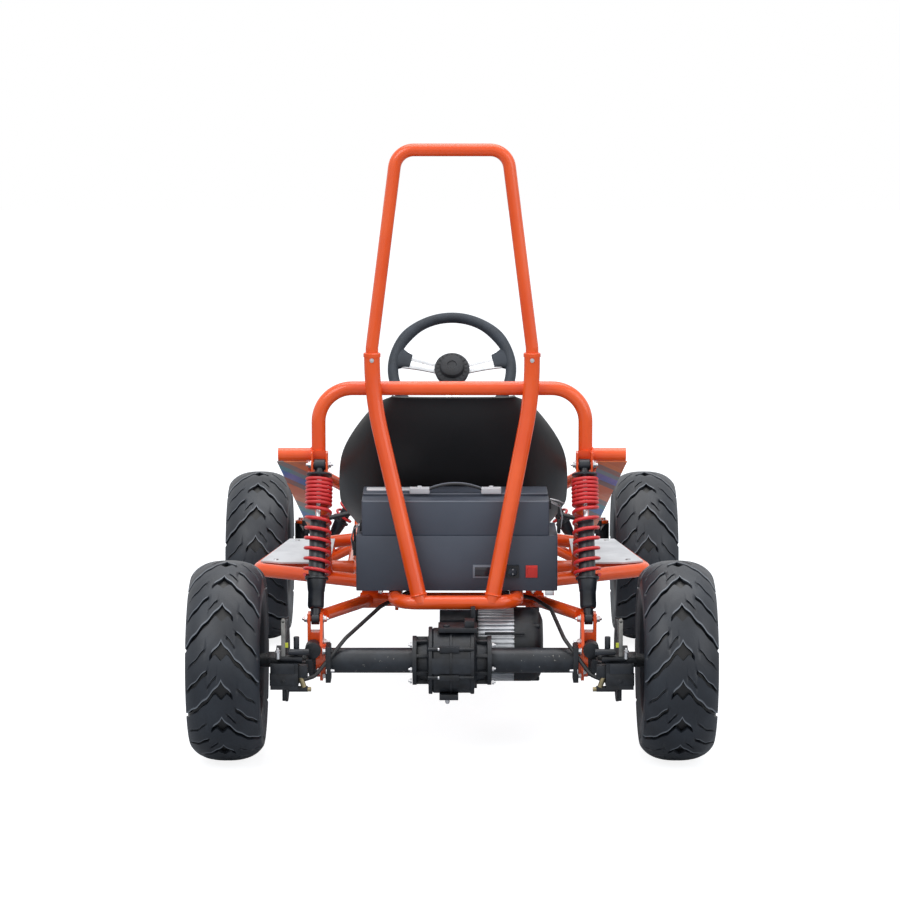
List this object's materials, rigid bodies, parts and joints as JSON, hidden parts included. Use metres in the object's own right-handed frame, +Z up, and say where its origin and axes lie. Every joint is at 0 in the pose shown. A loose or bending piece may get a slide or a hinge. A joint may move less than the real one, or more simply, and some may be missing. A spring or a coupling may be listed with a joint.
{
  "type": "electric off-road buggy",
  "caption": "single-seat electric off-road buggy with a bent tube frame, roll bar, bucket seat, rear motor with live axle, coil spring dampers and lugged tyres",
  "frame": {"origin": "on the ground, under the middle of the whole vehicle's bounding box", "axes": "+Y points forward along the vehicle, +X to its right, +Z up"},
  "size_m": [0.924, 1.479, 1.0702],
  "materials": {
    "lower_frame": "orange-red gloss powder coat",
    "side_loops": "orange-red gloss powder coat",
    "cross_hoop": "orange-red gloss powder coat",
    "rear_braces": "orange-red gloss powder coat",
    "roll_bar": "orange-red gloss powder coat",
    "dash_hoop": "orange-red gloss powder coat",
    "nose_hoop": "orange-red gloss powder coat",
    "side_rails": "orange-red gloss powder coat",
    "front_bumper": "orange-red gloss powder coat",
    "floor_pan": "satin black paint",
    "step_plates": "pale, plain sheet",
    "side_panels": "printed graphic",
    "nose_panel": "moulded",
    "seat": "moulded, fine grain",
    "battery_tray": "slate grey satin paint",
    "battery_case": "moulded, slate grey",
    "battery_fittings": "moulded",
    "charge_socket": "moulded",
    "gear_housing": "cast, black",
    "motor": "cast, finned",
    "axle_tubes": "satin black paint",
    "trailing_arms": "orange-red gloss powder coat",
    "rear_dampers": "black",
    "rear_springs": "red coat",
    "brake_calipers": "machined",
    "brake_cables": "smooth",
    "front_arms": "orange-red gloss powder coat",
    "front_dampers": "black",
    "front_springs": "red coat",
    "pedals": "plain",
    "left_knuckle": "black",
    "right_knuckle": "black",
    "steering_column": "black",
    "steering_wheel": "soft grip",
    "left_tie_rod": "zinc",
    "right_tie_rod": "zinc",
    "rear_left_tyre": "moulded tread",
    "rear_left_rim": "satin black paint",
    "rear_right_tyre": "moulded tread",
    "rear_right_rim": "satin black paint",
    "front_left_tyre": "moulded tread",
    "front_left_rim": "satin black paint",
    "front_right_tyre": "moulded tread",
    "front_right_rim": "satin black paint",
    "rear_left_half_shaft": "turned, dark",
    "rear_right_half_shaft": "turned, dark"
  },
  "bodies": {
    "chassis": {"lower_frame": "lower_frame", "side_loops": "side_loops", "cross_hoop": "cross_hoop", "rear_braces": "rear_braces", "roll_bar": "roll_bar", "dash_hoop": "dash_hoop", "nose_hoop": "nose_hoop", "side_rails": "side_rails", "front_bumper": "front_bumper", "floor_pan": "floor_pan", "step_plates": "step_plates", "side_panels": "side_panels", "nose_panel": "nose_panel", "seat": "seat", "battery_tray": "battery_tray", "battery_case": "battery_case", "battery_fittings": "battery_fittings", "charge_socket": "charge_socket", "gear_housing": "gear_housing", "motor": "motor", "axle_tubes": "axle_tubes", "trailing_arms": "trailing_arms", "rear_dampers": "rear_dampers", "rear_springs": "rear_springs", "brake_calipers": "brake_calipers", "brake_cables": "brake_cables", "front_arms": "front_arms", "front_dampers": "front_dampers", "front_springs": "front_springs", "pedals": "pedals"},
    "rear_left_wheel": {"rear_left_tyre": "rear_left_tyre", "rear_left_rim": "rear_left_rim", "rear_left_half_shaft": "rear_left_half_shaft"},
    "rear_right_wheel": {"rear_right_tyre": "rear_right_tyre", "rear_right_rim": "rear_right_rim", "rear_right_half_shaft": "rear_right_half_shaft"},
    "left_knuckle": {"left_knuckle": "left_knuckle"},
    "front_left_wheel": {"front_left_tyre": "front_left_tyre", "front_left_rim": "front_left_rim"},
    "right_knuckle": {"right_knuckle": "right_knuckle"},
    "front_right_wheel": {"front_right_tyre": "front_right_tyre", "front_right_rim": "front_right_rim"},
    "steering": {"steering_column": "steering_column", "steering_wheel": "steering_wheel"},
    "left_tie_rod": {"left_tie_rod": "left_tie_rod"},
    "right_tie_rod": {"right_tie_rod": "right_tie_rod"}
  },
  "joints": [
    {"name": "rear_left_wheel_turn", "type": "hinge", "parent": "chassis", "child": "rear_left_wheel", "pos_m": [-0.392, -0.565, 0.175], "axis": [1, 0, 0], "continuous": true},
    {"name": "rear_right_wheel_turn", "type": "hinge", "parent": "chassis", "child": "rear_right_wheel", "pos_m": [0.392, -0.565, 0.175], "axis": [1, 0, 0], "continuous": true},
    {"name": "steering_turn", "type": "hinge", "parent": "chassis", "child": "steering", "pos_m": [0, 0.06, 0.615], "axis": [0, -0.809, 0.5878], "range_deg": [-45, 45]},
    {"name": "left_knuckle_turn", "type": "hinge", "parent": "chassis", "child": "left_knuckle", "pos_m": [-0.313, 0.475, 0.191], "axis": [0, 0, 1], "range_deg": [-26, 26]},
    {"name": "front_left_wheel_turn", "type": "hinge", "parent": "left_knuckle", "child": "front_left_wheel", "pos_m": [-0.399, 0.475, 0.175], "axis": [1, 0, 0], "continuous": true},
    {"name": "left_tie_rod_turn", "type": "hinge", "parent": "left_knuckle", "child": "left_tie_rod", "pos_m": [-0.299, 0.393, 0.257], "axis": [0, 0, 1], "range_deg": [-28, 28]},
    {"name": "right_knuckle_turn", "type": "hinge", "parent": "chassis", "child": "right_knuckle", "pos_m": [0.313, 0.475, 0.191], "axis": [0, 0, 1], "range_deg": [-26, 26]},
    {"name": "front_right_wheel_turn", "type": "hinge", "parent": "right_knuckle", "child": "front_right_wheel", "pos_m": [0.399, 0.475, 0.175], "axis": [1, 0, 0], "continuous": true},
    {"name": "right_tie_rod_turn", "type": "hinge", "parent": "right_knuckle", "child": "right_tie_rod", "pos_m": [0.299, 0.393, 0.257], "axis": [0, 0, 1], "range_deg": [-28, 28]}
  ],
  "couplings": [
    {"joint": "left_knuckle_turn", "follows": "steering_turn", "ratio": 0.57},
    {"joint": "left_tie_rod_turn", "follows": "steering_turn", "ratio": -0.618},
    {"joint": "right_knuckle_turn", "follows": "steering_turn", "ratio": 0.57},
    {"joint": "right_tie_rod_turn", "follows": "steering_turn", "ratio": -0.618}
  ]
}
